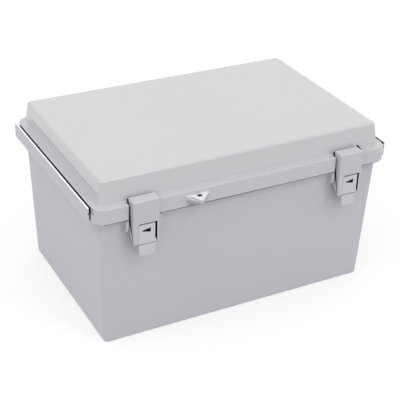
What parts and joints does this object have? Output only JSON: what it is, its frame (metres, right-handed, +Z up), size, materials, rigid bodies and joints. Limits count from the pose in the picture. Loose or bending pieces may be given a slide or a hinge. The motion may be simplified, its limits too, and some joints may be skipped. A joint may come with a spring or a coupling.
{
  "type": "hinged plastic enclosure",
  "caption": "Deep light-grey plastic box with a raised, gasketed cover on a rear hinge and rocker latches with sliding locks at the front.",
  "frame": {"origin": "centre of the base's bottom face", "axes": "+Z up, +X to the right when the latches face you, latches towards -Y, hinge towards +Y"},
  "size_m": [0.3042, 0.2242, 0.1673],
  "materials": {
    "base_plastic": "fine satin, light grey",
    "cover_plastic": "fine satin, light grey",
    "latch_plastic": "satin, light grey",
    "slide_plastic": "satin, light grey",
    "pointer_black": "smooth black inlay",
    "gasket_foam": "poured foam skin",
    "pin_steel": "drawn stainless rod",
    "insert_brass": "turned"
  },
  "bodies": {
    "base": {"base_box": "base_plastic", "hinge_pin_left": "pin_steel", "hinge_pin_right": "pin_steel", "latch_pin_left": "pin_steel", "latch_pin_right": "pin_steel", "panel_inserts": "insert_brass"},
    "cover": {"cover": "cover_plastic", "cover_gasket": "gasket_foam"},
    "latch_left": {"latch_left": "latch_plastic"},
    "latch_right": {"latch_right": "latch_plastic"},
    "lock_left": {"lock_slide_left": "slide_plastic", "lock_pointer_left": "pointer_black"},
    "lock_right": {"lock_slide_right": "slide_plastic", "lock_pointer_right": "pointer_black"}
  },
  "joints": [
    {"name": "cover_hinge", "type": "hinge", "parent": "base", "child": "cover", "pos_m": [0, 0.10599, 0.14], "axis": [-1, 0, 0], "range_deg": [0, 110]},
    {"name": "latch_left_swing", "type": "hinge", "parent": "base", "child": "latch_left", "pos_m": [-0.1044, -0.09579, 0.1215], "axis": [1, 0, 0], "range_deg": [0, 22]},
    {"name": "latch_right_swing", "type": "hinge", "parent": "base", "child": "latch_right", "pos_m": [0.1044, -0.09579, 0.1215], "axis": [1, 0, 0], "range_deg": [0, 22]},
    {"name": "lock_left_slide", "type": "slide", "parent": "latch_left", "child": "lock_left", "axis": [1, 0, 0], "range_m": [0, 0.0018]},
    {"name": "lock_right_slide", "type": "slide", "parent": "latch_right", "child": "lock_right", "axis": [1, 0, 0], "range_m": [0, 0.0018]}
  ]
}
